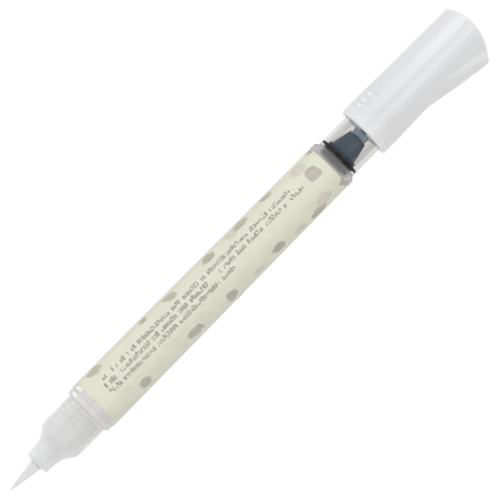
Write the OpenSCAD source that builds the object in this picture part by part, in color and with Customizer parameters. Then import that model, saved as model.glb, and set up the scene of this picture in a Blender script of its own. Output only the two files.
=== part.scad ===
// Push-button brush pen lying on its side with the cap posted on its tail.
// The pen's axis is X: brush tip towards -X, cap end towards +X, Z = 0 is the table.
// Every module draws along its own +Z from the brush tip, and lay_down() turns that onto X.

/* [Brush] */
// Length of the tuft that stands out of the nose
brush_out = 10.1; // [9:0.1:11]
// Diameter of the tuft where it leaves the nose
tuft_d = 3.6; // [3:0.1:3.6]

/* [Nose] */
// Length of the tapered front of the nose
taper_len = 8.95; // [8.6:0.05:9.6]
// Length of the round grip that the cap slides over
grip_len = 9.5; // [9:0.1:11]
// Diameter of that grip
grip_d = 12.3; // [12.1:0.05:12.3]
// Diameter of the collar behind the grip
collar_d = 14; // [13.6:0.1:14.2]
// Length of the collar
collar_len = 1.75; // [1.5:0.05:2.5]
// Number of comb fins on the ink feed
fin_count = 7; // [5:1:8]

/* [Barrel] */
// Diameter at the front end of the barrel
barrel_front_d = 14.5; // [14.3:0.1:15]
// Diameter just before the rear shoulder
barrel_rear_d = 13.56; // [13.4:0.02:14]
// Length from the front face to the end of the rear shoulder
barrel_len = 88.3; // [80:0.1:100]
// Bore at the middle of the ink tank
tank_bore_d = 11.8; // [11.6:0.1:11.8]
// Thickness of the printed label sleeve
label_t = 0.1; // [0.05:0.01:0.12]

/* [Tail and pump] */
// Outside diameter of the clear tail tube
tail_d = 11.7; // [11.5:0.1:11.8]
// Length of the tail tube
tail_len = 19.6; // [19:0.1:22]
// Bore that the pump piston runs in
pump_bore_d = 10; // [9.9:0.05:10.1]
// How far the button travels
button_travel = 3.5; // [2:0.1:3.5]
// Wire diameter of the return spring
spring_wire_d = 0.5; // [0.4:0.05:0.6]
// Turns of the return spring
spring_turns = 5; // [4:1:6]

/* [Cap] */
// Length of the cap
cap_len = 39.15; // [38.5:0.05:41]
// Diameter at the mouth of the cap
cap_mouth_d = 15.08; // [15:0.02:15.3]
// Diameter at the closed end of the cap
cap_end_d = 14.2; // [14:0.1:14.5]
// Reach of the side lobe from the axis
lobe_reach = 10.35; // [9:0.05:11]
// Length of tail tube that the posted cap covers
cap_cover = 10.25; // [10:0.05:10.5]

/* [Hidden] */
$fn = 96;
hull_fn = 32;        // facets of the rounded edges that hull() joins
eps = 0.01;          // overlap that keeps two cuts of one solid from sharing a face
slip = 0.03;         // radial gap of a fit that stays put
run = 0.05;          // radial gap between the grip and the beads inside the cap

// Stations along the pen, measured from the brush tip
grip_z = brush_out + taper_len;
collar_z = grip_z + grip_len;
barrel_z = collar_z + collar_len;
tail_z = barrel_z + barrel_len;
tail_end_z = tail_z + tail_len;
cap_z = tail_end_z - cap_cover;
pen_len = cap_z + cap_len;

// Nose
mouth_r = 1.9;                 // hole that the tuft comes out of
snout_r = 2.65;                // flat rim round that hole
snout_round = 0.8;             // rounding of its edge
snout_len = 4.5;               // slender part of the nose in front of the flare
snout_root_r = 3.75;
nose_bore_r = 5.25;
seat_z = brush_out + 10.1;     // step inside the nose that the brush holder rests on
nose_end_z = barrel_z + 6.5;   // spigot inside the barrel
spigot_r = 6.05;
seal_z = barrel_z + 2.3;
seal_w = 1.4;
seal_in_r = 5.3;

// Brush and its holder
holder_z = brush_out + 2.5;
holder_r = 2.4;                // front sleeve round the tuft
holder_sleeve_len = 3;
holder_body_r = 3.1;
holder_flare_len = 2;
root_z = seat_z - 1.2;         // front of the fused collar on the tuft
root_r = 2.4;
flange_t = 1;
feed_z = seat_z + flange_t;
feed_len = 9.6;
feed_end_z = feed_z + feed_len;
fin_r = 4.6;
fin_t = 0.55;
feed_stem_r = 2.6;             // core that the fins stand on
feed_slot_w = 0.5;             // air slots cut through the fins
relay_r = 1.2;
relay_bore_r = 0.6;
retainer_len = 4;
retainer_rim = 1.5;
retainer_nose_r = 3;
ink_hole_r = 0.4;
ink_hole_off = 2.4;

// Barrel
recess = 0.15;                 // depth of the label recess
label_z = barrel_z + 1.35;
label_end_z = tail_z - 3;
shoulder_z = tail_z - 2.3;
counterbore_r = 6.1;
counterbore_end_z = nose_end_z + 1.2;
tank_end_z = tail_z - 5.6;
pump_bore_z = tail_z - 4.6;
bore_draft = 0.1;              // tank bore is this much wider in front and narrower behind
tail_r = tail_d / 2;
land_r = 6.13;                 // raised land at the tail end that holds the posted cap
land_z = tail_end_z - 6.9;
ledge_z = tail_end_z - 8.4;    // inner ring that the spring stands on
ledge_t = 1.2;
ledge_hole_r = 3.5;
pump_r = pump_bore_d / 2;

// Pump, at rest
piston_z = tail_z - 1.8;
piston_r = 4.5;
seal_groove_r = 3.5;
piston_collar_r = 4.4;
piston_neck_r = 3.85;
piston_nose_r = 2.9;
suction_r = 0.8;               // hole from the tank to the valve chamber
lip_z = piston_z + 1.4;
lip_len = 1.6;
piston_collar_z = lip_z + lip_len;
sleeve_z = piston_collar_z + 1.5;
piston_end_z = sleeve_z + 4.7;
washer_t = 0.3;
spigot_z = piston_end_z + washer_t;
spigot_len = 1.75;
spigot_barb_r = 2.2;
flute_count = 8;
vent_r = 0.5;
valve_chamber_r = 1.2;
valve_chamber_z = sleeve_z + 1.3;
valve_ball_r = 1.1;
sleeve_end_z = ledge_z - 0.1;
sleeve_r = 4.6;
sleeve_bore_r = 3.9;
stem_r = 3.4;
stem_wall = 0.7;
stem_end_z = tail_end_z + 2.3;
button_z = tail_end_z - 0.6;
button_end_z = tail_end_z + 5.7;
button_r = 4.5;
button_rim_r = 4.7;            // rim that stays inside the tail tube
spring_z = ledge_z + ledge_t;
spring_r = 4.1;

// Mixing ball in the tank
ball_r = 2;
ball_z = barrel_z + 29.1;
ball_off = tank_bore_d / 2 - bore_draft - ball_r - 0.3;

// Cap
cap_mouth_r = cap_mouth_d / 2;
cap_end_r = cap_end_d / 2;
bend_z = cap_z + 16.7;         // where the lobe starts to grow
bend_r = cap_mouth_r - 0.25;
lobe_mid_z = cap_z + 26.8;
lobe_end_z = cap_z + 35.2;
lobe_mid_r = bend_r + (lobe_reach - bend_r) * 0.61;
lobe_edge_r = 1.2;             // rounding along the lobe's outer edge
lobe_sink = 0.3;               // how far inside the round body the lobe starts
end_curve_r = 16.08;           // curve of the closed end, seen square to the lobe
end_curve_z = pen_len - end_curve_r;
rim_z = cap_z + 3.5;           // where the roomy mouth of the cap ends
step_z = tail_end_z + 0.5;     // stop inside the cap, just behind the tail's end
rim_bore_r = 6.55;
cap_bore_r = 6.32;
deep_bore_r = 5.75;
grip_bead_r = grip_d / 2 + run;
cavity_end_z = pen_len - 3.5;
ridge_zs = [4.4, 6.2, 8.3];    // the three outer ridges, from the mouth
ridge_w = 0.8;
ridge_h = 0.1;
ridge_r = cap_mouth_r - 0.015 * ridge_zs[0] + ridge_h;
liner_z = cap_z + 16.5;
liner_r = 4.5;
liner_bore_r = 3.5;
liner_cup_z = cavity_end_z - 1.6;

// At rest the pen lies on its first ridge and on the lobe's edge
rest_h = ridge_r;
lobe_roll = acos((rest_h - lobe_edge_r) / (lobe_reach - lobe_edge_r));

// Turns the drawing axis onto X and rests the pen on the table
module lay_down() {
  translate([-pen_len / 2, 0, rest_h]) rotate([0, 90, 0]) children();
}

// Solid of revolution from [radius, station] points
module lathe(points) {
  rotate_extrude() polygon(points);
}

// Plain round bar or cutter between two stations
module rod(r, z0, z1) {
  translate([0, 0, z0]) cylinder(r = r, h = z1 - z0);
}

// Round taper between two stations
module taper(r0, r1, z0, z1) {
  translate([0, 0, z0]) cylinder(r1 = r0, r2 = r1, h = z1 - z0);
}

// Quarter-circle corner as points, centre [r, z]
function corner(r, z, size, from, to) =
  [for (i = [0:6]) let (a = from + (to - from) * i / 6) [r + size * cos(a), z + size * sin(a)]];

// S-curve between two radii, as points along the axis
function flare(r0, r1, z0, z1) =
  [for (i = [0:10]) let (t = i / 10) [r0 + (r1 - r0) * t * t * (3 - 2 * t), z0 + (z1 - z0) * t]];

// Radius of the barrel's outside at a station
function barrel_r(z) =
  barrel_front_d / 2 + (barrel_rear_d - barrel_front_d) / 2 * (z - barrel_z) / (shoulder_z - barrel_z);

// Radius of the cap's outside at a station
function cap_r(z) = z < bend_z
  ? cap_mouth_r + (bend_r - cap_mouth_r) * (z - cap_z) / (bend_z - cap_z)
  : bend_r + (cap_end_r - bend_r) * (z - bend_z) / (pen_len - bend_z);

module brush_tuft() color("#f1f0ee") lay_down()
  lathe(concat([[0, 0], [0.05, 0], [0.92, brush_out * 0.49], [tuft_d / 2 - 0.03, brush_out]],
               [[tuft_d / 2, brush_out + 0.4], [tuft_d / 2, root_z], [0, root_z]]));

module tuft_root_collar() color("#e4dccb") lay_down() difference() {
  rod(root_r, root_z, seat_z);
  rod(relay_bore_r, root_z - eps, seat_z + eps);
}

module brush_holder() color("#f4f4f2") lay_down() difference() {
  flare_z = holder_z + holder_sleeve_len;
  lathe([[0, holder_z], [holder_r, holder_z], [holder_r, flare_z],
         [holder_body_r, flare_z + holder_flare_len], [holder_body_r, seat_z],
         [nose_bore_r - 0.1, seat_z], [nose_bore_r - 0.1, feed_z], [0, feed_z]]);
  rod(tuft_d / 2 + slip, holder_z - eps, root_z + eps);
  rod(root_r + slip, root_z, feed_z + eps);
}

module nose_cone() color("#d5d5d3") lay_down() difference() {
  lathe(concat(
    [[0, brush_out]],
    corner(snout_r, brush_out + snout_round, snout_round, -90, -10),
    flare(snout_root_r, grip_d / 2, brush_out + snout_len, grip_z),
    [[grip_d / 2, collar_z], [collar_d / 2 - 0.15, collar_z], [collar_d / 2, collar_z + 0.15],
     [collar_d / 2, barrel_z], [spigot_r, barrel_z], [spigot_r, seal_z], [seal_in_r, seal_z],
     [seal_in_r, seal_z + seal_w], [spigot_r, seal_z + seal_w], [spigot_r, nose_end_z - 0.4],
     [spigot_r - 0.4, nose_end_z], [0, nose_end_z]]));
  lathe(concat(
    [[0, brush_out - 1], [mouth_r, brush_out - 1], [mouth_r, holder_z - 0.2], [2.5, holder_z - 0.2]],
    flare(2.5, 4.9, holder_z + 2.8, seat_z),
    [[nose_bore_r, seat_z], [nose_bore_r, nose_end_z + 1], [0, nose_end_z + 1]]));
}

module feed_core() color("#e9e9e6") lay_down() difference() {
  union() {
    rod(root_r, seat_z, feed_z + eps);
    rod(feed_stem_r, feed_z, feed_end_z);
    for (i = [0:fin_count - 1])
      let (z = feed_z + i * (feed_len - fin_t) / (fin_count - 1)) rod(fin_r, z, z + fin_t);
  }
  rod(relay_r + slip, seat_z - eps, feed_end_z + eps);
  for (i = [0:1])
    rotate(180 * i) translate([0, -feed_slot_w / 2, feed_z + fin_t])
      cube([fin_r + 1, feed_slot_w, feed_len]);
}

module relay_tube() color("#fafafa") lay_down() difference() {
  rod(relay_r, seat_z, nose_end_z + 3.6);
  rod(relay_bore_r, seat_z - eps, nose_end_z + 4);
}

module feed_retainer() color("#dcdcd8") lay_down() difference() {
  union() {
    rod(nose_bore_r - slip, feed_end_z, feed_end_z + retainer_rim);
    taper(nose_bore_r - 0.5, retainer_nose_r, feed_end_z + retainer_rim - eps, feed_end_z + retainer_len);
  }
  rod(relay_r + slip, feed_end_z - eps, feed_end_z + retainer_len + eps);
  for (i = [0:2])
    rotate(120 * i) translate([ink_hole_off, 0, 0])
      rod(ink_hole_r, feed_end_z - eps, feed_end_z + retainer_len + eps);
}

module nose_seal() color("#2c2c2e") lay_down() difference() {
  rod(counterbore_r - 0.01, seal_z, seal_z + seal_w);
  rod(seal_in_r + 0.01, seal_z - eps, seal_z + seal_w + eps);
}

module barrel() color("#dbd9d6") lay_down() difference() {
  lathe(concat(
    [[0, barrel_z]],
    corner(barrel_front_d / 2 - 0.4, barrel_z + 0.4, 0.4, -90, 0),
    [[barrel_r(label_z), label_z], [barrel_r(label_z) - recess, label_z],
     [barrel_r(label_end_z) - recess, label_end_z], [barrel_r(label_end_z), label_end_z]],
    corner(barrel_r(shoulder_z) - 1.2, shoulder_z + 0.2, 1.2, 0, 70),
    [[tail_r + 0.1, tail_z - 0.5], [tail_r, tail_z], [tail_r - 0.02, land_z - 1], [land_r, land_z],
     [land_r, tail_end_z - 0.6], [tail_r - 0.1, tail_end_z], [0, tail_end_z]]));
  lathe([[0, barrel_z - 1], [counterbore_r, barrel_z - 1], [counterbore_r, counterbore_end_z],
         [tank_bore_d / 2 + bore_draft, counterbore_end_z],
         [tank_bore_d / 2 - bore_draft, tank_end_z], [pump_r, pump_bore_z], [0, pump_bore_z]]);
  rod(pump_r, pump_bore_z - eps, ledge_z);
  rod(ledge_hole_r, ledge_z - eps, ledge_z + ledge_t + eps);
  rod(pump_r, ledge_z + ledge_t, tail_end_z + 1);
}

module label_sleeve() color("#dddcca") lay_down() {
  skin = recess - label_t - 0.02;
  lathe([[barrel_r(label_z) - skin - label_t, label_z], [barrel_r(label_z) - skin, label_z],
         [barrel_r(label_end_z) - skin, label_end_z],
         [barrel_r(label_end_z) - skin - label_t, label_end_z]]);
}

module mixing_ball() color("#b9bcc0") lay_down()
  translate([ball_off, 0, ball_z]) sphere(r = ball_r);

module pump_piston() color("#49525f") lay_down() difference() {
  lathe([[0, piston_z], [piston_r - 0.2, piston_z], [piston_r, piston_z + 0.2], [piston_r, lip_z],
         [seal_groove_r, lip_z], [seal_groove_r, piston_collar_z], [piston_collar_r, piston_collar_z],
         [piston_collar_r, sleeve_z], [piston_neck_r, sleeve_z], [piston_neck_r, sleeve_z + 0.7],
         [piston_neck_r - 0.2, sleeve_z + 0.9], [piston_nose_r, piston_end_z], [0, piston_end_z]]);
  rod(suction_r, piston_z - eps, valve_chamber_z + eps);
  rod(valve_chamber_r, valve_chamber_z, piston_end_z + eps);
}

module piston_seal() color("#17181b") lay_down() {
  lip_r = pump_r - slip;
  inner_r = seal_groove_r + 0.02;
  lathe([[inner_r, lip_z], [lip_r - 0.2, lip_z], [lip_r, lip_z + 0.15], [lip_r, lip_z + 0.5],
         [lip_r - 0.35, lip_z + 0.65], [lip_r - 0.35, lip_z + 0.95], [lip_r, lip_z + 1.1],
         [lip_r, lip_z + 1.45], [lip_r - 0.2, lip_z + lip_len], [inner_r, lip_z + lip_len]]);
}

module valve_washer() color("#e6e7e8") lay_down() difference() {
  rod(piston_nose_r + 0.15, piston_end_z, spigot_z);
  rod(vent_r, piston_end_z - eps, spigot_z + eps);
}

module vent_spigot() color("#6f8291") lay_down() difference() {
  union() {
    rod(spigot_barb_r, spigot_z, spigot_z + spigot_len);
    taper(1.2, 0.95, spigot_z + spigot_len - eps, spigot_z + spigot_len + 0.4);
  }
  rod(vent_r, spigot_z - eps, spigot_z + spigot_len + 1);
  for (i = [1:flute_count])
    rotate(360 / flute_count * i) translate([spigot_barb_r + 0.1, 0, 0])
      rod(0.3, spigot_z + 0.3, spigot_z + spigot_len + 1);
}

module valve_ball() color("#c9ccd0") lay_down()
  translate([0, 0, piston_end_z - valve_ball_r - 0.02]) sphere(r = valve_ball_r);

module pump_sleeve() color("#e3e3e2") lay_down() difference() {
  union() {
    rod(sleeve_r, sleeve_z, sleeve_end_z);
    rod(stem_r, sleeve_end_z - eps, stem_end_z);
  }
  rod(sleeve_bore_r, sleeve_z - eps, sleeve_end_z - stem_wall);
  rod(stem_r - stem_wall, sleeve_z, stem_end_z + eps);
}

// Centre line of the return spring, with flat end turns
function coil_height(t) =
  let (free = button_z - spring_z - spring_wire_d, s = max(0, min(1, (t - 0.08) / 0.84)))
  spring_z + spring_wire_d / 2 + free * s;
function coil_point(i, n, side) =
  let (t = i / n, a = 360 * spring_turns * t, b = 360 * side / 8,
       r = spring_r + spring_wire_d / 2 * cos(b))
  [r * cos(a), r * sin(a), coil_height(t) + spring_wire_d / 2 * sin(b)];

module return_spring() color("#c3c6ca") lay_down() {
  n = 18 * spring_turns;
  points = [for (i = [0:n]) for (k = [0:7]) coil_point(i, n, k)];
  sides = [for (i = [0:n - 1]) for (k = [0:7])
           [i * 8 + k, (i + 1) * 8 + k, (i + 1) * 8 + (k + 1) % 8, i * 8 + (k + 1) % 8]];
  ends = [[for (k = [0:7]) k], [for (k = [7:-1:0]) n * 8 + k]];
  polyhedron(points = points, faces = concat(sides, ends), convexity = 8);
}

module push_button() color("#e6e6e4") lay_down() difference() {
  lathe(concat(
    [[0, button_z], [button_rim_r, button_z], [button_rim_r, button_z + 0.8],
     [button_r, button_z + 0.9]],
    corner(button_r - 0.8, button_end_z - 0.8, 0.8, 0, 70),
    [[0, button_end_z]]));
  rod(stem_r + slip, button_z - eps, stem_end_z);
  rod(vent_r, stem_end_z - eps, button_end_z + 1);
}

// Flat section of the cap's flare: a core inside the round body joined to the lobe's edge
module lobe_slice(z, reach) {
  translate([0, 0, z]) linear_extrude(0.02) {
    circle(r = cap_r(z) - lobe_sink, $fn = 2 * hull_fn);
    translate([reach - lobe_edge_r, 0]) circle(r = lobe_edge_r, $fn = hull_fn);
  }
}

module cap_shell() color("#e2e3e4") lay_down() difference() {
  intersection() {
    union() {
      lathe([[0, cap_z], [cap_mouth_r - 0.4, cap_z], [cap_mouth_r, cap_z + 0.4],
             [bend_r, bend_z], [cap_end_r, pen_len], [0, pen_len]]);
      for (z = ridge_zs)
        translate([0, 0, cap_z + z]) lathe([[0, -ridge_w / 2],
          [cap_r(cap_z + z), -ridge_w / 2], [cap_r(cap_z + z) + ridge_h, -ridge_w / 5],
          [cap_r(cap_z + z) + ridge_h, ridge_w / 5], [cap_r(cap_z + z), ridge_w / 2],
          [0, ridge_w / 2]]);
      rotate(-lobe_roll) hull() {
        lobe_slice(bend_z - 2, bend_r - lobe_sink);
        lobe_slice(lobe_mid_z, lobe_mid_r);
        lobe_slice(lobe_end_z, lobe_reach);
        lobe_slice(pen_len + 1, lobe_reach);
      }
    }
    rotate(-lobe_roll) union() {
      translate([-end_curve_r, -end_curve_r, cap_z - 1])
        cube([2 * end_curve_r, 2 * end_curve_r, end_curve_z - cap_z + 1]);
      translate([0, end_curve_r, end_curve_z]) rotate([90, 0, 0]) rod(end_curve_r, 0, 2 * end_curve_r);
    }
  }
  rod(rim_bore_r, cap_z - 1, rim_z);
  rod(deep_bore_r, rim_z - eps, cavity_end_z);
  difference() {
    rod(cap_bore_r, rim_z - eps, step_z);
    for (z = ridge_zs) translate([0, 0, cap_z + z]) difference() {
      rod(cap_bore_r + 1, -0.3, 0.3);
      rod(grip_bead_r, -1, 1);
    }
  }
}

module cap_liner() color("#d8dadb") lay_down() difference() {
  union() {
    rod(liner_r, liner_z, cavity_end_z);
    for (i = [0:3])
      rotate(45 + 90 * i) translate([0, -0.4, liner_z + 6])
        cube([deep_bore_r - slip, 0.8, cavity_end_z - liner_z - 6]);
  }
  rod(liner_bore_r, liner_z - eps, liner_cup_z);
  taper(liner_bore_r + 0.4, liner_bore_r, liner_z - eps, liner_z + 0.6);
}

brush_tuft();
tuft_root_collar();
brush_holder();
nose_cone();
feed_core();
relay_tube();
feed_retainer();
nose_seal();
barrel();
label_sleeve();
mixing_ball();
pump_piston();
piston_seal();
valve_washer();
vent_spigot();
valve_ball();
pump_sleeve();
return_spring();
push_button();
cap_shell();
cap_liner();
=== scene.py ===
"""A push-button brush pen lying on a pale table with its cap posted on its tail."""

import math
import random

import bmesh
import bpy
from mathutils import Matrix, Vector


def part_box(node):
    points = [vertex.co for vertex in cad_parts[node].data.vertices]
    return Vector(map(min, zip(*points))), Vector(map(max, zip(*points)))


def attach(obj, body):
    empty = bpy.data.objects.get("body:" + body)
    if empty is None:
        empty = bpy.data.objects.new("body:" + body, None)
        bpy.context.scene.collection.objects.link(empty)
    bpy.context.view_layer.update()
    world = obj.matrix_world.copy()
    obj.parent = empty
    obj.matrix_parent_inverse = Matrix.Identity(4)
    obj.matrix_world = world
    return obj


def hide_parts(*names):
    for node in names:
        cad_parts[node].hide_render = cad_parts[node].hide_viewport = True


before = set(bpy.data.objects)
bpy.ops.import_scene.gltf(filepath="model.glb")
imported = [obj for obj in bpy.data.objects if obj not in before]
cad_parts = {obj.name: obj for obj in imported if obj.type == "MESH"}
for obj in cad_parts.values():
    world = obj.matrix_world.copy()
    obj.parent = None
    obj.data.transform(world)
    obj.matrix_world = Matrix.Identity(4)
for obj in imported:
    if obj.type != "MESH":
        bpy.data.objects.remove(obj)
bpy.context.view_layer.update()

MM = 0.001
ROUND = 128  # facets round a turned piece

# The pen's axis runs along X. Stations are millimetres from the brush tip, and radii are from the axis.
barrel_low, barrel_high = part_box("barrel")
TIP_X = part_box("brush_tuft")[0][0]
AXIS_Z = (barrel_low[2] + barrel_high[2]) / 2


def station_of(node, end):
    """Station where a node begins (end 0) or ends (end 1)."""
    return (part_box(node)[end][0] - TIP_X) / MM


TUFT_ROOT = station_of("brush_tuft", 1)
HOLDER = station_of("brush_holder", 0)
SEAT = station_of("feed_core", 0)
FINS = SEAT + 1  # where the feed's comb fins begin
FIN_PITCH = 1.508
BARREL, TAIL_END = station_of("barrel", 0), station_of("barrel", 1)
NOSE, NOSE_END = BARREL - 20.2, station_of("nose_cone", 1)
COLLAR = BARREL - 1.75
LABEL, LABEL_END = station_of("label_sleeve", 0), station_of("label_sleeve", 1)
PISTON, PISTON_END = station_of("pump_piston", 0), station_of("pump_piston", 1)
LIP, LIP_END = station_of("piston_seal", 0), station_of("piston_seal", 1)
SPIGOT, SPIGOT_END = station_of("vent_spigot", 0), station_of("vent_spigot", 1)
SLEEVE, STEM_END = station_of("pump_sleeve", 0), station_of("pump_sleeve", 1)
BUTTON, BUTTON_END = station_of("push_button", 0), station_of("push_button", 1)
CAP, CAP_END = station_of("cap_shell", 0), station_of("cap_shell", 1)
CAP_BEND = CAP + 16.7  # where the lobe starts to grow
TAIL = TAIL_END - 19.6
SHOULDER = TAIL - 2.3

NOSE_R = 6.15
COLLAR_R = 7.0
BARREL_FRONT_R, BARREL_REAR_R = 7.25, 6.78
CAP_MOUTH_R, CAP_BEND_R, CAP_END_R = 7.54, 7.29, 7.1

# The cap's lobe leans from straight down towards -Y by this angle, and the camera looks square to it.
LOBE_EDGE = 1.2
LOBE_REACH = 10.35
LOBE_ROLL = math.acos((AXIS_Z / MM - LOBE_EDGE) / (LOBE_REACH - LOBE_EDGE))


# ---------------------------------------------------------------- shader wiring
class Wire:
    """One output of a shader node, which arithmetic turns into Math nodes."""

    def __init__(self, wiring, socket):
        self.wiring = wiring
        self.socket = socket

    def _math(self, operation, *values):
        return self.wiring.node("Math", {"operation": operation}, dict(enumerate(values)))

    def __add__(self, other):
        return self._math("ADD", self, other)

    __radd__ = __add__

    def __sub__(self, other):
        return self._math("SUBTRACT", self, other)

    def __rsub__(self, other):
        return self._math("SUBTRACT", other, self)

    def __mul__(self, other):
        return self._math("MULTIPLY", self, other)

    __rmul__ = __mul__

    def __truediv__(self, other):
        return self._math("DIVIDE", self, other)

    def __gt__(self, other):
        return self._math("GREATER_THAN", self, other)

    def __lt__(self, other):
        return self._math("LESS_THAN", self, other)

    def __abs__(self):
        return self._math("ABSOLUTE", self)

    def least(self, other):
        return self._math("MINIMUM", self, other)

    def floor(self):
        return self._math("FLOOR", self)


class Wiring:
    """The node tree of a material or a world, emptied and then built up node by node."""

    def __init__(self, owner):
        owner.use_nodes = True
        self.owner = owner
        self.tree = owner.node_tree
        self.tree.nodes.clear()

    def node(self, kind, settings=None, sockets=None, out=0):
        """Adds a node: first its settings, then the values or links of its sockets."""
        made = self.tree.nodes.new("ShaderNode" + kind)
        for name, value in (settings or {}).items():
            setattr(made, name, value)
        for name, value in (sockets or {}).items():
            if isinstance(value, Wire):
                self.tree.links.new(value.socket, made.inputs[name])
            else:
                made.inputs[name].default_value = value
        return Wire(self, made.outputs[out]) if len(made.outputs) else None


class Finish(Wiring):
    """A material with millimetre coordinates on the pen, and the patterns that follow them."""

    def __init__(self, name):
        super().__init__(bpy.data.materials.new(name))
        self.place = self.node("Mapping", {}, {
            "Vector": self.node("TexCoord", out="Object"),
            "Location": (-TIP_X / MM, 0, -AXIS_Z / MM),
            "Scale": (1 / MM,) * 3,
        })
        self.along = self.node("SeparateXYZ", {}, {"Vector": self.place}, "X")

    def sideways(self):
        """Distances from the pen's axis along Y and Z."""
        return [self.node("SeparateXYZ", {}, {"Vector": self.place}, axis) for axis in "YZ"]

    def vector(self, operation, *values, out=0):
        return self.node("VectorMath", {"operation": operation}, dict(enumerate(values)), out)

    def noise(self, scale, detail=2, stretch=(1, 1, 1), roughness=0.5, out=0):
        """Noise with `scale` bumps per millimetre, squeezed along an axis by stretch."""
        place = self.vector("MULTIPLY", self.place, stretch)
        sockets = {"Vector": place, "Scale": scale, "Detail": detail, "Roughness": roughness}
        return self.node("TexNoise", {}, sockets, out)

    def span(self, value, low, high, to_low=0.0, to_high=1.0):
        """A smooth step from to_low at low to to_high at high."""
        sockets = {"Value": value, "From Min": low, "From Max": high, "To Min": to_low, "To Max": to_high}
        return self.node("MapRange", {"interpolation_type": "SMOOTHSTEP"}, sockets)

    def mix(self, factor, first, second):
        """Colour between first and second; both may be plain colours or wires."""
        first = first if isinstance(first, Wire) else (*first, 1)
        second = second if isinstance(second, Wire) else (*second, 1)
        return self.node("Mix", {"data_type": "RGBA"}, {0: factor, 6: first, 7: second}, 2)

    def clouded(self, pattern, colour, shade):
        """The colour, multiplied by shade where the pattern is strong."""
        return self.mix(self.span(pattern, 0.3, 0.7), colour, tuple(c * shade for c in colour))

    def flow_marks(self):
        """Long soft clouds, as plastic leaves where it flowed into its mould."""
        return self.noise(0.25, 3, (0.35, 1, 1))

    def draw_lines(self):
        """Fine lines along the pen, as a pulled mould core leaves."""
        return self.noise(2.2, 3, (0.03, 1, 1), 0.6)

    def bump(self, height, strength, depth_mm):
        return self.node("Bump", {}, {"Height": height, "Strength": strength, "Distance": depth_mm * MM})

    def principled(self, **sockets):
        named = {name.replace("_", " "): value for name, value in sockets.items()}
        for name, value in named.items():
            if name.endswith("Color") and isinstance(value, tuple):
                named[name] = (*value, 1)
        return self.node("BsdfPrincipled", {}, named)

    def blend(self, factor, first, second):
        """Shader between first and second."""
        return self.node("MixShader", {}, {0: factor, 1: first, 2: second})

    def see_through(self, shader, opacity, tint=(1, 1, 1)):
        """Lets what is behind show, by 1 - opacity."""
        return self.blend(opacity, self.node("BsdfTransparent", {}, {"Color": (*tint, 1)}), shader)

    def done(self, shader):
        self.node("OutputMaterial", {}, {"Surface": shader})
        return self.owner


# ---------------------------------------------------------------- finishes
def milky(look, tone, opacity, rough, soak, depth_mm, gloss, **glow):
    """Polypropylene that light soaks into; it hides what is behind by its opacity, and wholly edge-on."""
    fine = look.noise(6)
    shader = look.principled(
        Base_Color=tone,
        Roughness=look.span(fine, 0.2, 0.8, rough, rough + 0.1),
        Subsurface_Weight=soak,
        Subsurface_Radius=(1.0, 0.98, 0.95),
        Subsurface_Scale=depth_mm * MM,
        IOR=1.49,
        Coat_Weight=1.0,
        Coat_Roughness=gloss,
        Normal=look.bump(fine, 0.12, 0.02),
        **glow,
    )
    facing = look.node("LayerWeight", {}, {"Blend": 0.35}, "Facing")
    return look.done(look.see_through(shader, look.span(facing, 0.0, 0.9, opacity, 1.0)))


def plain_milky(name, colour, opacity, depth_mm, shade):
    """Milky all over, with faint flow marks."""
    look = Finish(name)
    tone = look.clouded(look.flow_marks(), colour, shade)
    return milky(look, tone, opacity, rough=0.3, soak=0.9, depth_mm=depth_mm, gloss=0.09)


def cap_plastic(name):
    """Milky, with a painted glow (emission) inside its mouth standing in for light soaking through the wall,
    and a painted highlight down each flat side of the lobe.
    """
    look = Finish(name)
    y, z = look.sideways()
    lobeward = -1 * (z * math.cos(LOBE_ROLL) + y * math.sin(LOBE_ROLL))
    # Painted shade: the tone darkens over the first 30 mm from the mouth.
    tone = look.mix(look.span(look.along, CAP, CAP + 30), (0.745, 0.745, 0.75), (0.79, 0.79, 0.795))
    tone = look.mix(look.span(look.flow_marks(), 0.3, 0.7) * 0.5, tone, (0.79, 0.79, 0.795))
    # A painted highlight runs down each flat side of the lobe: it leaves the cap's middle at this slope, and
    # widens towards the closed end.
    slope, offset = 0.221, 0.27
    slant = lobeward - (look.along - CAP) * slope - offset
    spread = look.span(look.along, CAP + 20, CAP + 36, 0.3, 1.0)
    facet_highlight = look.span(abs(slant) / spread, 1.0, 0.7) * look.span(look.along, CAP + 21, CAP + 27)
    facet_highlight = facet_highlight * (look.along < CAP_END - 1.6)
    # Painted light: an emission glow on the inside of the mouth, standing in for light that soaks through the
    # wall into the shaded gap.
    off_axis = look.vector("LENGTH", look.vector("MULTIPLY", look.place, (0, 1, 1)), out="Value")
    mouth_glow = look.span(off_axis, 6.9, 6.5) * look.span(look.along, CAP + 6, CAP + 1, 0.3, 1.0)
    # Painted highlight: the paler tone along each flat side of the lobe.
    tone = look.mix(facet_highlight * 0.55, tone, (0.92, 0.93, 0.94))
    glow = look.mix(mouth_glow, (0, 0, 0), (0.74, 0.75, 0.76))
    return milky(look, tone, 0.86, rough=0.3, soak=0.9, depth_mm=0.8, gloss=0.05, Emission_Color=glow,
                 Emission_Strength=0.4)


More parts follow.
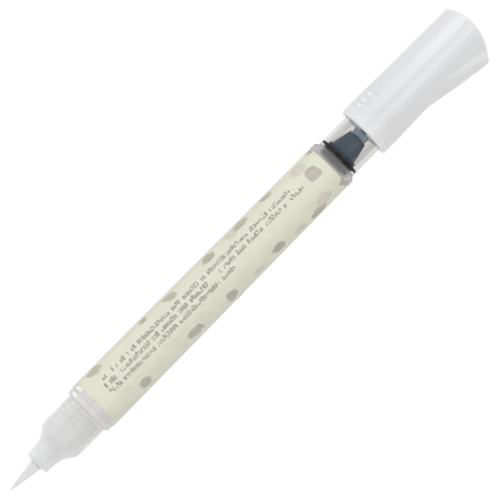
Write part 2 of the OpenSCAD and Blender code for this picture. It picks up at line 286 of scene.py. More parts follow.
def nose_plastic(name):
    """Translucent grey, greyer at the collar; painted highlights, in broken light bars at the fin pitch,
    stand for the edges of the comb fins inside.
    """
    look = Finish(name)
    tone = look.mix(look.span(look.along, NOSE + 2, BARREL - 2), (0.87, 0.87, 0.87), (0.8, 0.795, 0.775))
    streaks = look.noise(0.9, 3, (0.05, 1, 1), 0.6)
    tone = look.mix(look.span(streaks, 0.45, 0.62) * 0.5, tone, (0.9, 0.9, 0.895))
    # Painted highlight: light bars at the fin pitch, broken by noise, for the edges of the feed's comb fins
    # seen through the wall.
    fin = (look.along - FINS) / FIN_PITCH
    fin_glint = look.span(abs(fin - fin.floor() - 0.18), 0.2, 0.1)
    broken = look.span(look.noise(0.45, 2, (0.4, 1, 1)), 0.46, 0.56)
    fins = fin_glint * broken * (look.along > FINS) * (look.along < BARREL - 1.6)
    tone = look.mix(fins * 0.7, tone, (0.94, 0.94, 0.93))
    tone = look.mix(look.span(look.along, BARREL - 2.6, COLLAR), tone, (0.71, 0.7, 0.675))
    opacity = look.span(look.along, BARREL - 3, BARREL - 1.8, 0.55, 0.9)
    return milky(look, tone, opacity, rough=0.35, soak=0.6, depth_mm=0.5, gloss=0.03)


def clear_plastic(name, gleam):
    """Clear moulding with faint draw lines along it and a frosted warm-grey shoulder.

    It refracts, and gleam is how much of the light that meets its surfaces it mirrors.
    """
    look = Finish(name)
    clear_tint, frosted_tint = (0.93, 0.915, 0.9), (0.84, 0.82, 0.8)
    lines = look.draw_lines()
    frosted = look.span(look.along, TAIL + 0.2, TAIL - 0.6)
    glass = look.principled(
        Base_Color=look.mix(frosted, clear_tint, frosted_tint),
        Roughness=look.span(lines, 0.35, 0.75, 0.02, 0.07) + 0.2 * frosted,
        Transmission_Weight=1.0,
        IOR=1.49,
        Specular_Tint=(gleam, gleam, gleam, 1),
        Normal=look.bump(lines, 0.1, 0.02),
    )
    veil = look.principled(Base_Color=frosted_tint, Roughness=0.35, IOR=1.3)
    return look.done(look.blend(frosted * 0.1, glass, veil))


def thin_clear(name, tint):
    """Thin clear wall that doesn't bend what is behind it, with a veil that thickens edge-on."""
    look = Finish(name)
    lines = look.draw_lines()
    shader = look.principled(
        Base_Color=look.clouded(lines, tint, 0.9),
        Roughness=look.span(lines, 0.35, 0.75, 0.08, 0.16),
        IOR=1.49,
    )
    facing = look.node("LayerWeight", {}, {"Blend": 0.5}, "Facing")
    return look.done(look.see_through(shader, look.span(facing, 0.2, 1.0, 0.02, 0.42)))


def moulded_plastic(name, colour, shine=0.42, grain=5.0, shade=0.86, index=1.5, opacity=1.0):
    """Moulded plastic: fine spark-eroded grain, slight tone clouds, and a lighter colour on its sharpest
    convex edges.
    """
    look = Finish(name)
    fine = look.noise(grain, 3)
    # The colour lightens on sharp convex edges.
    sharp_edge = look.span(look.node("NewGeometry", out="Pointiness"), 0.52, 0.6)
    base = look.clouded(look.noise(0.5, 3), colour, shade)
    shader = look.principled(
        Base_Color=look.mix(sharp_edge * 0.35, base, tuple(min(1, c * 1.5 + 0.02) for c in colour)),
        Roughness=look.span(fine, 0.25, 0.75, shine - 0.06, shine + 0.08),
        IOR=index,
        Normal=look.bump(fine, 0.2, 0.02),
    )
    return look.done(look.see_through(shader, opacity, (0.78, 0.88, 1)) if opacity < 1 else shader)


def rubber(name):
    look = Finish(name)
    fine = look.noise(9)
    patches = look.span(look.noise(0.8), 0.3, 0.7)
    shader = look.principled(
        Base_Color=look.mix(patches, (0.004, 0.004, 0.005), (0.008, 0.008, 0.01)),
        Roughness=look.span(fine, 0.2, 0.8, 0.35, 0.5),
        IOR=1.35,
        Normal=look.bump(fine, 0.25, 0.015),
    )
    return look.done(shader)


def steel(name, colour, shine, drawn):
    """Stainless steel; drawn wire has fine lines, a ball has only faint lapping marks."""
    look = Finish(name)
    lines = look.noise(8, 3, (0.4, 1, 1) if drawn else (1, 1, 1))
    shader = look.principled(
        Base_Color=look.clouded(lines, colour, 0.88),
        Metallic=1.0,
        Roughness=look.span(lines, 0.3, 0.7, shine, shine + 0.1),
        Normal=look.bump(lines, 0.1, 0.01),
    )
    return look.done(shader)


def nylon_fibre(name, soak):
    """Nylon filament: fine streaks along the tuft and a soft gloss; light soaks into the bundle."""
    look = Finish(name)
    streak = look.noise(5.5, 3, (0.05, 1, 1), 0.6)
    shader = look.principled(
        Base_Color=look.mix(look.span(streak, 0.3, 0.7), (0.86, 0.86, 0.86), (0.89, 0.89, 0.89)),
        Roughness=look.span(streak, 0.3, 0.7, 0.4, 0.55),
        Subsurface_Weight=soak,
        Subsurface_Radius=(1.0, 1.0, 1.0),
        Subsurface_Scale=0.3 * MM,
        Normal=look.bump(streak, 0.12, 0.02),
    )
    return look.done(shader)


# Blots on the label: station, degrees round from the middle of the print (minus is towards
# the top), half length, half width, turn in degrees.
TAUPE_BLOTS = (
    (36.7, -58, 2.3, 1.5, 8), (54.6, -63, 1.4, 1.3, 0), (63.6, -54, 2.2, 1.45, 20),
    (77.4, -55, 2.1, 1.6, 12), (89.2, -60, 2.2, 1.6, 15), (98.8, -64, 2.0, 1.3, 10),
    (111.2, -15, 2.1, 2.1, 45), (115.4, -69, 1.6, 1.2, 0),
    (44.1, 48, 1.7, 1.7, 0), (62.1, 48, 2.5, 1.5, 5), (75.2, 51, 1.8, 1.7, 10),
    (92.2, 50, 2.1, 1.5, 8), (105.8, 62, 2.2, 1.6, 0), (115.6, 54, 1.3, 2.0, 0),
)
PALE_BLOTS = (
    (86.1, -56, 2.3, 1.5, 10), (109, -49, 2.2, 2.0, 0), (84.5, 56, 1.7, 1.1, 0),
    (99.3, 57, 2.0, 1.3, 0), (108.9, 44, 2.3, 1.8, 0),
)


def hidden_blots(seed):
    """The same kind of blots in staggered rows on the side away from the print."""
    spread = random.Random(seed)
    rows = enumerate((98, 138, 178, 218, 258))
    places = [(x, degrees) for row, degrees in rows for x in range(38 + 5 * (row % 2), 115, 10)]
    return [
        (x + spread.uniform(-2, 2), degrees + spread.uniform(-9, 9), spread.uniform(1.5, 2.4),
         spread.uniform(1.2, 1.7), spread.uniform(-25, 45))
        for x, degrees in places
        if spread.random() < 0.78
    ]


def blot_mask(look, flat, spots, radius):
    """1 inside any of the ovals, on the film rolled out flat."""
    nearest = None
    for station, degrees, half_long, half_wide, turn in spots:
        wrapped = (degrees + 180) % 360 - 180
        oval = look.node("Mapping", {"vector_type": "TEXTURE"}, {
            "Vector": flat,
            "Location": (station, math.radians(wrapped) * radius, 0),
            "Rotation": (0, 0, math.radians(turn)),
            "Scale": (half_long, half_wide, 1),
        })
        reach = look.vector("LENGTH", oval, out="Value")
        nearest = reach if nearest is None else nearest.least(reach)
    return look.span(nearest, 1.06, 0.94)


# Rows of speckles: where the row runs round the film, in millimetres, and the station where it ends.
SPECKLE_ROWS = ((-3.1, 105), (-1.15, 107), (0.8, 80.5))
SPECKLE_START = 36.1


def speckle_mask(look, arc):
    """Rows of cells, each two speckles wide and three or four high, with gaps like word spaces."""
    cell_long, speckle_high = 0.8, 0.34
    cell = (look.along / cell_long).floor()
    across = look.along / cell_long - cell
    middle = 0.47
    column = across > middle
    inside = (across > 0.1) * (across < 0.84) * (abs(across - middle) > 0.045)
    mask = None
    for row, (row_arc, row_end) in enumerate(SPECKLE_ROWS):
        drop = (arc - row_arc) / speckle_high
        level = (drop + 0.5).floor()
        apart = abs(drop - level) < 0.41
        cell_place = look.node("CombineXYZ", {}, {"X": cell, "Y": float(row)})
        place = look.node("CombineXYZ", {}, {"X": cell + column * 0.5, "Y": level + 9.0 * row, "Z": 5.0})
        chance, speckle = (
            look.node("TexWhiteNoise", {"noise_dimensions": "3D"}, {"Vector": where}, "Value")
            for where in (cell_place, place)
        )
        tall = (drop < 1.5) * (drop > -1.5 - 1 * (chance > 0.66))
        on = tall * inside * apart * (chance > 0.15) * (speckle > 0.25)
        on = on * (look.along > SPECKLE_START) * (look.along < row_end)
        mask = on if mask is None else mask + on
    return mask


def printed_film(name, radius):
    """Cream film with taupe brush blots, and rows of fine speckles in place of print."""
    look = Finish(name)
    y, z = look.sideways()
    print_turn = math.pi / 2 - LOBE_ROLL
    facing = z * math.cos(print_turn) - y * math.sin(print_turn)
    below = -1 * (z * math.sin(print_turn) + y * math.cos(print_turn))
    angle = look.node("Math", {"operation": "ARCTAN2"}, {0: below, 1: facing})
    arc = angle * radius
    flat = look.node("CombineXYZ", {}, {"X": look.along, "Y": arc})
    ragged = look.vector("SUBTRACT", look.noise(0.55, 3, out=1), (0.5, 0.5, 0.5))
    flat = look.vector("ADD", flat, look.vector("MULTIPLY", ragged, (2.2, 2.2, 0)))
    hidden = hidden_blots(11)
    taupe = blot_mask(look, flat, list(TAUPE_BLOTS) + hidden[::2], radius)
    pale = blot_mask(look, flat, list(PALE_BLOTS) + hidden[1::2], radius)

    film = look.mix(look.span(look.noise(0.35), 0.3, 0.7), (0.685, 0.685, 0.56), (0.665, 0.66, 0.53))
    crumbs = look.node("TexVoronoi", {}, {"Vector": look.place, "Scale": 0.7}, "Distance")
    crumb_zone = look.span(abs(look.along - 106), 5, 3) * look.span(abs(angle - 0.42), 0.2, 0.08)
    film = look.mix(look.span(crumbs, 0.28, 0.2) * crumb_zone * 0.5, film, (0.74, 0.70, 0.38))
    film = look.mix(pale * 0.5, film, (0.52, 0.47, 0.42))
    paint = look.mix(look.span(look.noise(0.22), 0.35, 0.65), (0.37, 0.345, 0.28), (0.46, 0.43, 0.36))
    film = look.mix(taupe * 0.9, film, paint)
    speckles = speckle_mask(look, arc)
    film = look.mix(speckles * 0.95, film, (0.10, 0.085, 0.07))
    seam = look.span(abs(abs(angle) - math.radians(168)) * radius, 0.12, 0.04)
    fine = look.noise(7)
    shader = look.principled(
        Base_Color=look.mix(seam * 0.5, film, (0.5, 0.5, 0.42)),
        Roughness=look.span(fine, 0.3, 0.7, 0.4, 0.5) - taupe * 0.06,
        IOR=1.45,
        Coat_Weight=0.25,
        Coat_Roughness=0.3,
        Normal=look.bump(fine * 0.5 - seam + speckles * 0.3, 0.15, 0.02),
    )
    return look.done(shader)


# ---------------------------------------------------------------- meshes
def on_pen(x, radius, angle):
    """A point at a station, at a radius and an angle from straight down towards -Y."""
    return Vector((TIP_X + x * MM, -radius * MM * math.sin(angle), AXIS_Z - radius * MM * math.cos(angle)))


def piece(name, mesh, material, body, nodes=(), crease=35):
    """A visible piece that rides on a body and takes the place of the CAD nodes given."""
    made = bpy.data.objects.new(name, mesh)
    bpy.context.scene.collection.objects.link(made)
    mesh.materials.append(material)
    mesh.polygons.foreach_set("use_smooth", [True] * len(mesh.polygons))
    mesh.set_sharp_from_angle(angle=math.radians(crease))
    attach(made, body)
    if nodes:
        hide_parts(*nodes)
    return made


def join_rings(mesh, rings, closed=False):
    """Joins rings of points by faces; a ring of one point is a pole. Gives the rings of vertices."""
    made = []
    for ring in rings:
        made.append([mesh.verts.new(point) for point in ring])
    for first, second in zip(made, made[1:] + made[:1] if closed else made[1:]):
        count = max(len(first), len(second))
        for i in range(count):
            j = (i + 1) % count
            corners = [first[i % len(first)], second[i % len(second)], second[j % len(second)],
                       first[j % len(first)]]
            mesh.faces.new(list(dict.fromkeys(corners)))
    return made


def mesh_data(name, mesh):
    """The finished mesh, with its normals outwards."""
    bmesh.ops.recalc_face_normals(mesh, faces=mesh.faces)
    data = bpy.data.meshes.new(name)
    mesh.to_mesh(data)
    mesh.free()
    return data


def skin(name, rings, closed=False):
    """One surface through rings of points; closed joins the last ring to the first."""
    mesh = bmesh.new()
    join_rings(mesh, rings, closed)
    return mesh_data(name, mesh)


def softened(points):
    """Profile points (station, radius[, fillet]) with each corner that has a fillet rounded."""
    out = []
    steps = 5
    for i, point in enumerate(points):
        fillet = point[2] if len(point) > 2 else 0
        here = Vector(point[:2])
        if not fillet or i in (0, len(points) - 1):
            out.append(here)
            continue
        before = Vector(points[i - 1][:2]) - here
        after = Vector(points[i + 1][:2]) - here
        half = before.angle(after) / 2
        reach = min(fillet / math.tan(half), before.length * 0.49, after.length * 0.49)
        size = reach * math.tan(half)
        start = here + before.normalized() * reach
        end = here + after.normalized() * reach
        middle = here + (before.normalized() + after.normalized()).normalized() * size / math.sin(half)
        turn = (start - middle).angle_signed(end - middle)
        for k in range(steps + 1):
            out.append(middle + Matrix.Rotation(-turn * k / steps, 2) @ (start - middle))
    return out


def turned(name, points, closed=False, wobble=None):
    """A turned piece from a profile; an open profile starts and ends on the axis."""
    angles = [2 * math.pi * i / ROUND for i in range(ROUND)]
    rings = []
    for x, radius in softened(points):
        if radius < 1e-6:
            rings.append([on_pen(x, 0, 0)])
        else:
            rings.append([on_pen(x, radius * (wobble(x, a) if wobble else 1), a) for a in angles])
    return skin(name, rings, closed)


def smooth_profile(points):
    """A cubic through (station, radius) points, whose slope at each comes from its neighbours."""
    out = []
    steps = 5
    for i in range(len(points) - 1):
        (x0, r0), (x1, r1) = points[i], points[i + 1]
        before, after = points[max(i - 1, 0)], points[min(i + 2, len(points) - 1)]
        span = x1 - x0
        slope0 = (r1 - before[1]) / (x1 - before[0])
        slope1 = (after[1] - r0) / (after[0] - x0)
        for k in range(steps):
            t = k / steps
            out.append((x0 + span * t,
                        (2 * t**3 - 3 * t**2 + 1) * r0 + (t**3 - 2 * t**2 + t) * span * slope0
                        + (3 * t**2 - 2 * t**3) * r1 + (t**3 - t**2) * span * slope1))
    out.append(points[-1])
    return out


def straight_line(x, start, start_r, end, end_r):
    """Radius at a station on a straight taper."""
    return start_r + (end_r - start_r) * (x - start) / (end - start)


# ---------------------------------------------------------------- brush
def tuft_radius(x):
    """Radius of the tuft at a station: a fine point that swells to the mouth."""
    swell_end = 10.3
    return 0.05 + 1.75 * (min(x, swell_end) / swell_end) ** 0.86


def brush():
    clumps = random.Random(5)
    waves = [(n, clumps.uniform(0, 6.3), clumps.uniform(-0.03, 0.03)) for n in (7, 11, 17, 23, 31)]

    def fluted(x, a):
        depth = 0.03 * min(1, x / 3)
        return 1 - depth + depth * sum(math.sin(n * a + p + d * x) for n, p, d in waves) / len(waves)

    stations = (0.06, 0.3, 0.8, 1.5, 2.5, 3.7, 5, 6.5, 8, 9.5, 10.5)
    profile = [(0, 0), *[(x, tuft_radius(x) * 0.985) for x in stations], (TUFT_ROOT, 1.78), (TUFT_ROOT, 0)]
    piece("brush_tuft_core", turned("brush_tuft_core", profile, wobble=fluted),
          nylon_fibre("nylon_tuft", 0.5), "pen_body", ["brush_tuft"])

    count, steps, golden_angle = 240, 12, 2.399963
    begin = 11.5
    corners = (0, 2.094, 4.189)
    mesh = bmesh.new()
    for i in range(count):
        a = golden_angle * i
        end = 0.02 + 8.2 * (i / count) ** 1.35
        sway = clumps.uniform(-0.10, 0.10)
        lift = clumps.uniform(-0.015, 0.01)
        rings = []
        for k in range(steps + 1):
            t = k / steps
            x = begin + (end - begin) * t
            thick = 0.04 * (1 - t) ** 0.5 + 0.004
            out_by = tuft_radius(x) + lift * math.sin(math.pi * t) - thick * 0.9
            centre = on_pen(x, max(out_by, 0.004), a + sway * t)
            radial = (centre - on_pen(x, 0, 0)).normalized()
            side = Vector((1, 0, 0)).cross(radial)
            rings.append([centre + (radial * math.cos(b) + side * math.sin(b)) * thick * MM for b in corners])
        made = join_rings(mesh, rings)
        mesh.faces.new(made[0][::-1])
        mesh.faces.new(made[-1])
    piece("brush_strands", mesh_data("brush_strands", mesh), nylon_fibre("nylon_strand", 0.0), "pen_body")


# ---------------------------------------------------------------- nose
def nose():
    snout = smooth_profile([
        (1.2, 3.45), (2.6, 3.5), (3.6, 3.6), (4.6, 3.8), (5.6, 4.15), (6.6, 4.75), (7.6, 5.54), (8.2, 5.92),
        (8.95, 6.14),
    ])
    profile = [
        (NOSE, 1.9, 0.15), (NOSE, 3.42, 0.75), *[(NOSE + x, r) for x, r in snout],
        (COLLAR - 0.35, NOSE_R, 0.3), (COLLAR + 0.05, COLLAR_R, 0.3), (BARREL, COLLAR_R, 0.03),
        (BARREL, 6.05), (BARREL + 2.3, 6.05), (BARREL + 2.3, 5.3), (BARREL + 3.7, 5.3), (BARREL + 3.7, 6.05),
        (NOSE_END, 6.05, 0.4), (NOSE_END, 5.25), (SEAT, 5.25), (SEAT, 4.9, 0.1), (SEAT - 1.6, 4.3),
        (SEAT - 3.2, 3.3), (HOLDER + 3.3, 2.7, 0.8), (HOLDER - 0.2, 2.5, 0.2), (HOLDER - 0.2, 1.9, 0.1),
    ]
    piece("nose_cone_shell", turned("nose_cone_shell", profile, closed=True), nose_plastic("milky_nose"),
          "pen_body", ["nose_cone"])


# ---------------------------------------------------------------- barrel and label
def barrel_radius(x):
    """Outside of the barrel, a slow straight taper."""
    return straight_line(x, BARREL, BARREL_FRONT_R, SHOULDER, BARREL_REAR_R)


def barrel():
    recess = 0.15
    band = TAIL_END - 7.9  # the wider band that centres the posted cap
    flange = TAIL_END - 7.2  # the inner flange that the spring stands on
    profile = [
        (BARREL, 6.1), (BARREL, BARREL_FRONT_R, 0.05), (LABEL, barrel_radius(LABEL)),
        (LABEL, barrel_radius(LABEL) - recess), (LABEL_END, barrel_radius(LABEL_END) - recess),
        (LABEL_END, barrel_radius(LABEL_END)), (TAIL - 1.2, 6.74, 1.1), (TAIL - 0.4, 5.9, 0.3),
        (TAIL, 5.86), (band, 5.83, 0.3), (band + 1, 6.13, 0.3), (TAIL_END - 0.6, 6.13, 0.3),
        (TAIL_END, 5.75, 0.2), (TAIL_END, 5.0, 0.1), (flange, 5.0), (flange, 3.5), (flange - 1.2, 3.5),
        (flange - 1.2, 5.0), (TAIL - 4.6, 5.0, 0.3), (TAIL - 5.6, 5.8, 0.3), (BARREL + 7.7, 6.0),
        (BARREL + 7.7, 6.1),
    ]
    tube = piece("barrel_tube", turned("barrel_tube", profile, closed=True),
                 clear_plastic("clear_warm_grey", 0.2), "pen_body", ["barrel"])
    tube.data.materials.append(plain_milky("frosted_rim", (0.69, 0.68, 0.65), 0.92, 0.6, 0.98))
    tube.data.materials.append(clear_plastic("clear_tail_end", 0.9))
    rim_end = TIP_X + (LABEL + 8) * MM
    under_cap = TIP_X + (TAIL_END - 8.6) * MM
    clear, rim, tail_end = range(3)
    for face in tube.data.polygons:
        x = face.center.x
        face.material_index = rim if x < rim_end else tail_end if x > under_cap else clear


def label():
    sunk = 0.03  # the film's outside lies this far below the barrel's
    film = 0.1
    count = 40
    stations = [LABEL + (LABEL_END - LABEL) * k / count for k in range(count + 1)]
    outside = [(x, barrel_radius(x) - sunk) for x in stations]
    inside = [(x, r - film) for x, r in reversed(outside)]
    piece("label_film", turned("label_film", outside + inside, closed=True),
          printed_film("printed_film", 7.0), "pen_body", ["label_sleeve"])


# ---------------------------------------------------------------- pump
def pump():
    neck = LIP_END + 0.8
    profile = [
        (PISTON, 0), (PISTON, 4.5, 0.2), (LIP, 4.5, 0.1), (LIP, 3.5), (LIP_END, 3.5), (LIP_END, 4.4, 0.1),
        (neck, 4.4, 0.1), (neck, 3.9, 0.05), (PISTON_END - 0.3, 2.72, 0.1), (PISTON_END, 2.65, 0.04),
        (PISTON_END, 1.2), (SLEEVE + 1.3, 1.2), (SLEEVE + 1.3, 0),
    ]
    piece("pump_piston_body", turned("pump_piston_body", profile),
          moulded_plastic("slate_plastic", (0.052, 0.086, 0.13), 0.62, 4.0, index=1.25), "pump",
          ["pump_piston"])
    lips = [
        (LIP, 3.52), (LIP, 4.75, 0.1), (LIP + 0.25, 4.97, 0.1), (LIP + 0.45, 4.6, 0.1), (LIP + 0.6, 4.6, 0.1),
        (LIP + 0.75, 5.02, 0.05), (LIP_END - 0.1, 5.02, 0.05), (LIP_END, 4.75, 0.1), (LIP_END, 3.52),
    ]
    piece("piston_lips", turned("piston_lips", lips, closed=True), rubber("lip_rubber"), "pump",
          ["piston_seal"])
    clear = thin_clear("clear_sleeve", (0.95, 0.93, 0.9))
    washer = [(PISTON_END, 0.5), (PISTON_END, 2.8, 0.05), (SPIGOT, 2.8, 0.05), (SPIGOT, 0.5)]
    piece("seat_washer", turned("seat_washer", washer, closed=True), clear, "pump",
          ["valve_washer"])

    def fluted(x, a):
        return 1 - 0.05 * (0.5 + 0.5 * math.cos(16 * a)) if x > SPIGOT + 0.2 else 1

    nozzle = [
        (SPIGOT, 0.5), (SPIGOT, 2.3, 0.05), (SPIGOT + 0.25, 2.3), (SPIGOT + 1.6, 2.3, 0.15),
        (SPIGOT + 1.6, 1.2), (SPIGOT_END, 0.95, 0.1), (SPIGOT_END, 0.5),
    ]
    steel_blue = moulded_plastic("steel_blue_plastic", (0.46, 0.6, 0.74), 0.6, index=1.3, opacity=0.8)
    piece("vent_nozzle", turned("vent_nozzle", nozzle, closed=True, wobble=fluted), steel_blue, "pump",
          ["vent_spigot"])
    step = TAIL_END - 8.5
    sleeve = [
        (neck, 3.95), (neck, 4.6, 0.1), (step, 4.6, 0.2), (step, 3.4, 0.15), (STEM_END, 3.4, 0.1),
        (STEM_END, 2.7, 0.1), (step - 0.7, 2.7), (step - 0.7, 3.95, 0.2),
    ]
    piece("pump_sleeve_tube", turned("pump_sleeve_tube", sleeve, closed=True), clear, "pump",
          ["pump_sleeve"])
    button = [
        (BUTTON, 3.43), (BUTTON, 4.7, 0.1), (BUTTON + 0.8, 4.7, 0.1), (BUTTON + 0.9, 4.5, 0.1),
        (BUTTON_END, 4.5, 0.9), (BUTTON_END, 1.6, 0.4), (BUTTON_END - 0.25, 1.3, 0.4),
        (BUTTON_END - 0.25, 0.5, 0.1), (STEM_END, 0.5), (STEM_END, 3.43),
    ]
    piece("push_button_cup", turned("push_button_cup", button, closed=True),
          moulded_plastic("button_plastic", (0.82, 0.82, 0.8), 0.3, shade=0.95), "pump",
          ["push_button"])


# ---------------------------------------------------------------- cap
def cap_radius(x):
    """Round part of the cap's outside."""
    if x < CAP_BEND:
        return straight_line(x, CAP, CAP_MOUTH_R, CAP_BEND, CAP_BEND_R)
    return straight_line(x, CAP_BEND, CAP_BEND_R, CAP_END, CAP_END_R)


LOBE_RUNS = (
    (CAP_BEND, CAP_BEND_R), (CAP + 26.8, 9.16), (CAP + 35.2, LOBE_REACH), (CAP + 41, LOBE_REACH + 0.35),
)


def lobe_reach(x):
    """How far the lobe stands from the axis; it grows in nearly straight runs."""
    for start, end in zip(LOBE_RUNS, LOBE_RUNS[1:]):
        if start[0] <= x <= end[0]:
            return straight_line(x, start[0], start[1], end[0], end[1])
    return 0


def cap_outline(x, angle):
    """Distance of the cap's skin from the axis: a circle joined to the lobe's edge by flat sides."""
    body, reach = cap_radius(x), lobe_reach(x)
    if reach <= body:
        return body
    centre = reach - LOBE_EDGE
    lean = math.acos(min(1, (body - LOBE_EDGE) / centre))
    turn = abs((angle - LOBE_ROLL + math.pi) % (2 * math.pi) - math.pi)
    edge = math.atan2(LOBE_EDGE * math.sin(lean), centre + LOBE_EDGE * math.cos(lean))
    if turn >= lean:
        return body
    if turn > edge:
        return body / math.cos(turn - lean)
    return centre * math.cos(turn) + math.sqrt(max(0, LOBE_EDGE**2 - (centre * math.sin(turn)) ** 2))


def cap():
    end_curve = 16.08  # radius of the closed end, which curves only in the lobe's plane
    end_centre = CAP_END - end_curve
    rim = 0.5
    mouth_lip = 0.6
    bore_end = 35.5
    ridges = (4.4, 6.2, 8.3)
    lobe_angles = [math.radians(d * 0.75) for d in range(-14, 15)]
    other_angles = [math.radians(10.5 + (339 * k) / 136) for k in range(1, 136)]
    angles = [LOBE_ROLL + a for a in lobe_angles + other_angles]

    def ring(place):
        """A ring of points, each at the station and radius that place gives for its angle."""
        return [on_pen(*place(a), a) for a in angles]

    def ridge(x):
        return 0.1 * max(0, *(1 - (abs(x - CAP - r) / 0.42) ** 2 for r in ridges))

    def end_face(radius, angle):
        """Station of the closed end's face."""
        return end_centre + math.sqrt(end_curve**2 - (radius * math.cos(angle - LOBE_ROLL)) ** 2)

    def rounding(angle):
        """Centre of the rounded rim and how far the end face leans there, found step by step."""
        across = math.cos(angle - LOBE_ROLL)
        x, lean = CAP_END - 3, 0.0
        for _ in range(12):
            inset = cap_outline(x, angle) - rim
            touch = inset + rim * math.sin(lean)
            face = end_face(touch, angle)
            lean = math.atan(touch * across**2 / (face - end_centre))
            x = face - rim * math.cos(lean)
        return x, inset, lean

    rims = {a: rounding(a) for a in angles}
    bores = [(6.3, 0), (6.3, 1.2), (6.55, 1.6), (6.55, 3.5)]
    for r in ridges:
        bores += [(6.32, r - 0.5), (6.2, r - 0.25), (6.2, r + 0.25), (6.32, r + 0.5)]
    bores += [(6.32, 10.6), (5.75, 10.6), (5.75, bore_end)]
    rings = [[on_pen(CAP + bore_end, 0, 0)]]
    rings += [ring(lambda a: (CAP + offset, radius)) for radius, offset in reversed(bores)]
    for k in range(5):
        turn = math.pi / 2 * k / 4
        x = CAP + mouth_lip * (1 - math.cos(turn))
        radius = CAP_MOUTH_R - mouth_lip * (1 - math.sin(turn))
        rings.append(ring(lambda a: (x, radius)))
    for x in [CAP + 0.9 + 0.2 * k for k in range(44)] + [CAP + 10 + 1.1 * k for k in range(7)]:
        rings.append(ring(lambda a: (x, cap_outline(x, a) + ridge(x))))
    lobe_rings = 26
    for k in range(lobe_rings + 1):
        reach = {a: CAP_BEND + (rims[a][0] - CAP_BEND) * k / lobe_rings for a in angles}
        rings.append(ring(lambda a: (reach[a], cap_outline(reach[a], a))))
    for k in range(1, 7):
        rolled = {a: (math.pi / 2 - lean) * k / 6 for a, (_, _, lean) in rims.items()}
        rings.append(ring(lambda a: (rims[a][0] + rim * math.sin(rolled[a]),
                                     rims[a][1] + rim * math.cos(rolled[a]))))
    end_rings = 16
    for k in range(1, end_rings):
        share = 1 - k / end_rings
        reach = {a: (inset + rim * math.sin(lean)) * share for a, (_, inset, lean) in rims.items()}
        rings.append(ring(lambda a: (end_face(reach[a], a), reach[a])))
    rings.append([on_pen(CAP_END, 0, 0)])
    piece("cap_shell_skin", skin("cap_shell_skin", rings), cap_plastic("milky_cap"), "cap",
          ["cap_shell"], crease=28)


# ---------------------------------------------------------------- hidden working parts
def inner_parts():
    """The exact solids inside keep their shape and take a worked finish."""
    white = moulded_plastic("white_moulding", (0.96, 0.96, 0.95), 0.5, shade=0.97, index=1.35)
    ball = steel("ball_steel", (0.66, 0.67, 0.69), 0.08, False)
    finishes = {
        "tuft_root_collar": moulded_plastic("fused_nylon", (0.72, 0.66, 0.54), 0.3, 2.5),
        "brush_holder": white,
        "feed_core": white,
        "relay_tube": moulded_plastic("relay_plastic", (0.86, 0.86, 0.85), 0.3, shade=0.96),
        "feed_retainer": white,
        "nose_seal": rubber("seal_rubber"),
        "mixing_ball": ball,
        "valve_ball": ball,
        "return_spring": steel("spring_steel", (0.56, 0.57, 0.59), 0.2, True),
        "cap_liner": plain_milky("milky_liner", (0.8, 0.805, 0.81), 0.8, 1.5, 0.96),
    }
    for node, material in finishes.items():
        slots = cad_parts[node].data.materials
        slots.clear()
        slots.append(material)


# ---------------------------------------------------------------- stage
def table_finish():
    """Pale matte sheet with a glow, fainter towards the viewer's side, as on a light table."""
    look = Finish("pale_table")
    grain = look.mix(look.noise(0.05), (0.86, 0.86, 0.86), (0.9, 0.9, 0.9))
    matte = look.principled(Base_Color=grain, Roughness=0.6)
    near, far, seen = (look.node("Emission", {}, {"Strength": glow}) for glow in (0.74, 0.88, 1.07))
    depth = look.span(look.sideways()[0], -60, 60)
    glow = look.blend(look.node("LightPath", out="Is Camera Ray"), look.blend(depth, near, far), seen)
    return look.done(look.blend(0.9, matte, glow))


def table():
    half = 1.5
    corners = [(-half, -half, 0), (half, -half, 0), (half, half, 0), (-half, half, 0)]
    mesh = bpy.data.meshes.new("table_top")
    mesh.from_pydata(corners, [], [(0, 1, 2, 3)])
    mesh.materials.append(table_finish())
    top = bpy.data.objects.new("table_top", mesh)
    top.location.z = -0.0002
    bpy.context.scene.collection.objects.link(top)


def studio_walls():
    """A soft surround, a little lighter overhead than at the table's edge."""
    sky = Wiring(bpy.data.worlds.new("studio"))
    height = sky.node("SeparateXYZ", {}, {"Vector": sky.node("TexCoord", out="Generated")}, "Z")
    shades = {"Value": height, "From Min": 0.05, "From Max": 0.75, "To Min": 0.66, "To Max": 0.76}
    strength = sky.node("MapRange", {}, shades)
    wall = sky.node("Background", {}, {"Color": (0.97, 0.98, 1.0, 1), "Strength": strength})
    sky.node("OutputWorld", {}, {"Surface": wall})
    bpy.context.scene.world = sky.owner


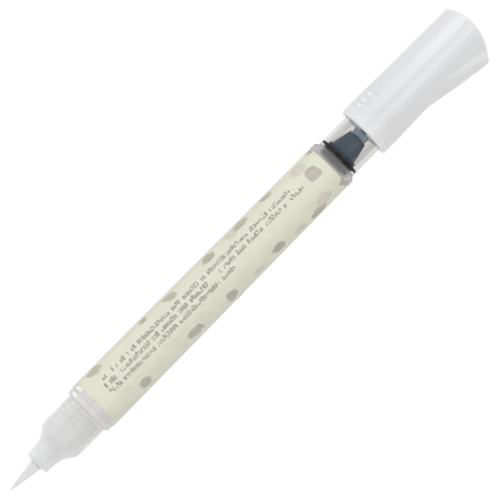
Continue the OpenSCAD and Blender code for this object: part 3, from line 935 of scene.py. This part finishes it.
# Soft lamps: name, place, size, watts, colour, and the point it is aimed at, in metres.
LAMPS = (
    ("overhead_softbox", (0, -0.05, 0.75), (1.8, 0.6), 2.0, (0.99, 0.995, 1.0), (0, -0.05, 0)),
    ("cap_strip", (0.25, 0, 0.74), (0.18, 0.56), 0.4, (0.98, 0.99, 1.0), (0.25, 0, 0)),
    ("front_fill", (0.1, -0.9, 0.5), (1.2, 0.6), 2.5, (1, 0.985, 0.955), (0, 0, 0)),
    ("grip_window", (-0.066, 0.7, 0.5), (0.06, 0.6), 0.5, (1, 0.965, 0.935), (-0.06, 0, 0)),
)


def lamps():
    for name, place, size, watts, colour, aim in LAMPS:
        light = bpy.data.lights.new(name, "AREA")
        light.shape = "RECTANGLE"
        light.size, light.size_y = size
        light.energy = watts
        light.color = colour
        lamp = bpy.data.objects.new(name, light)
        lamp.location = place
        lamp.rotation_euler = (Vector(aim) - Vector(place)).to_track_quat("-Z", "Y").to_euler()
        bpy.context.scene.collection.objects.link(lamp)


def camera():
    """Square to the lobe, rolled so that the pen climbs to the right."""
    square_to = 28  # station that the camera is straight above
    distance = 1.127
    centre, off_centre = 86.6, 0.5
    climb = math.radians(45.4)
    away = Vector((0, -math.sin(LOBE_ROLL + math.pi / 2), -math.cos(LOBE_ROLL + math.pi / 2)))
    spot = on_pen(square_to, 0, 0) + away * distance
    back = (spot - on_pen(centre, off_centre, LOBE_ROLL)).normalized()
    run = Vector((1, 0, 0))
    run = (run - back * run.dot(back)).normalized()
    rise = back.cross(run)
    right = run * math.cos(climb) - rise * math.sin(climb)
    up = run * math.sin(climb) + rise * math.cos(climb)
    lens = bpy.data.cameras.new("camera")
    lens.lens = 320
    lens.clip_end = 10
    view = bpy.data.objects.new("camera", lens)
    pose = Matrix((right, up, back)).transposed().to_4x4()
    pose.translation = spot
    view.matrix_world = pose
    bpy.context.scene.collection.objects.link(view)
    bpy.context.scene.camera = view


camera()
brush()
nose()
barrel()
label()
pump()
cap()
inner_parts()
table()
studio_walls()
lamps()
bpy.context.scene.view_settings.view_transform = "Standard"
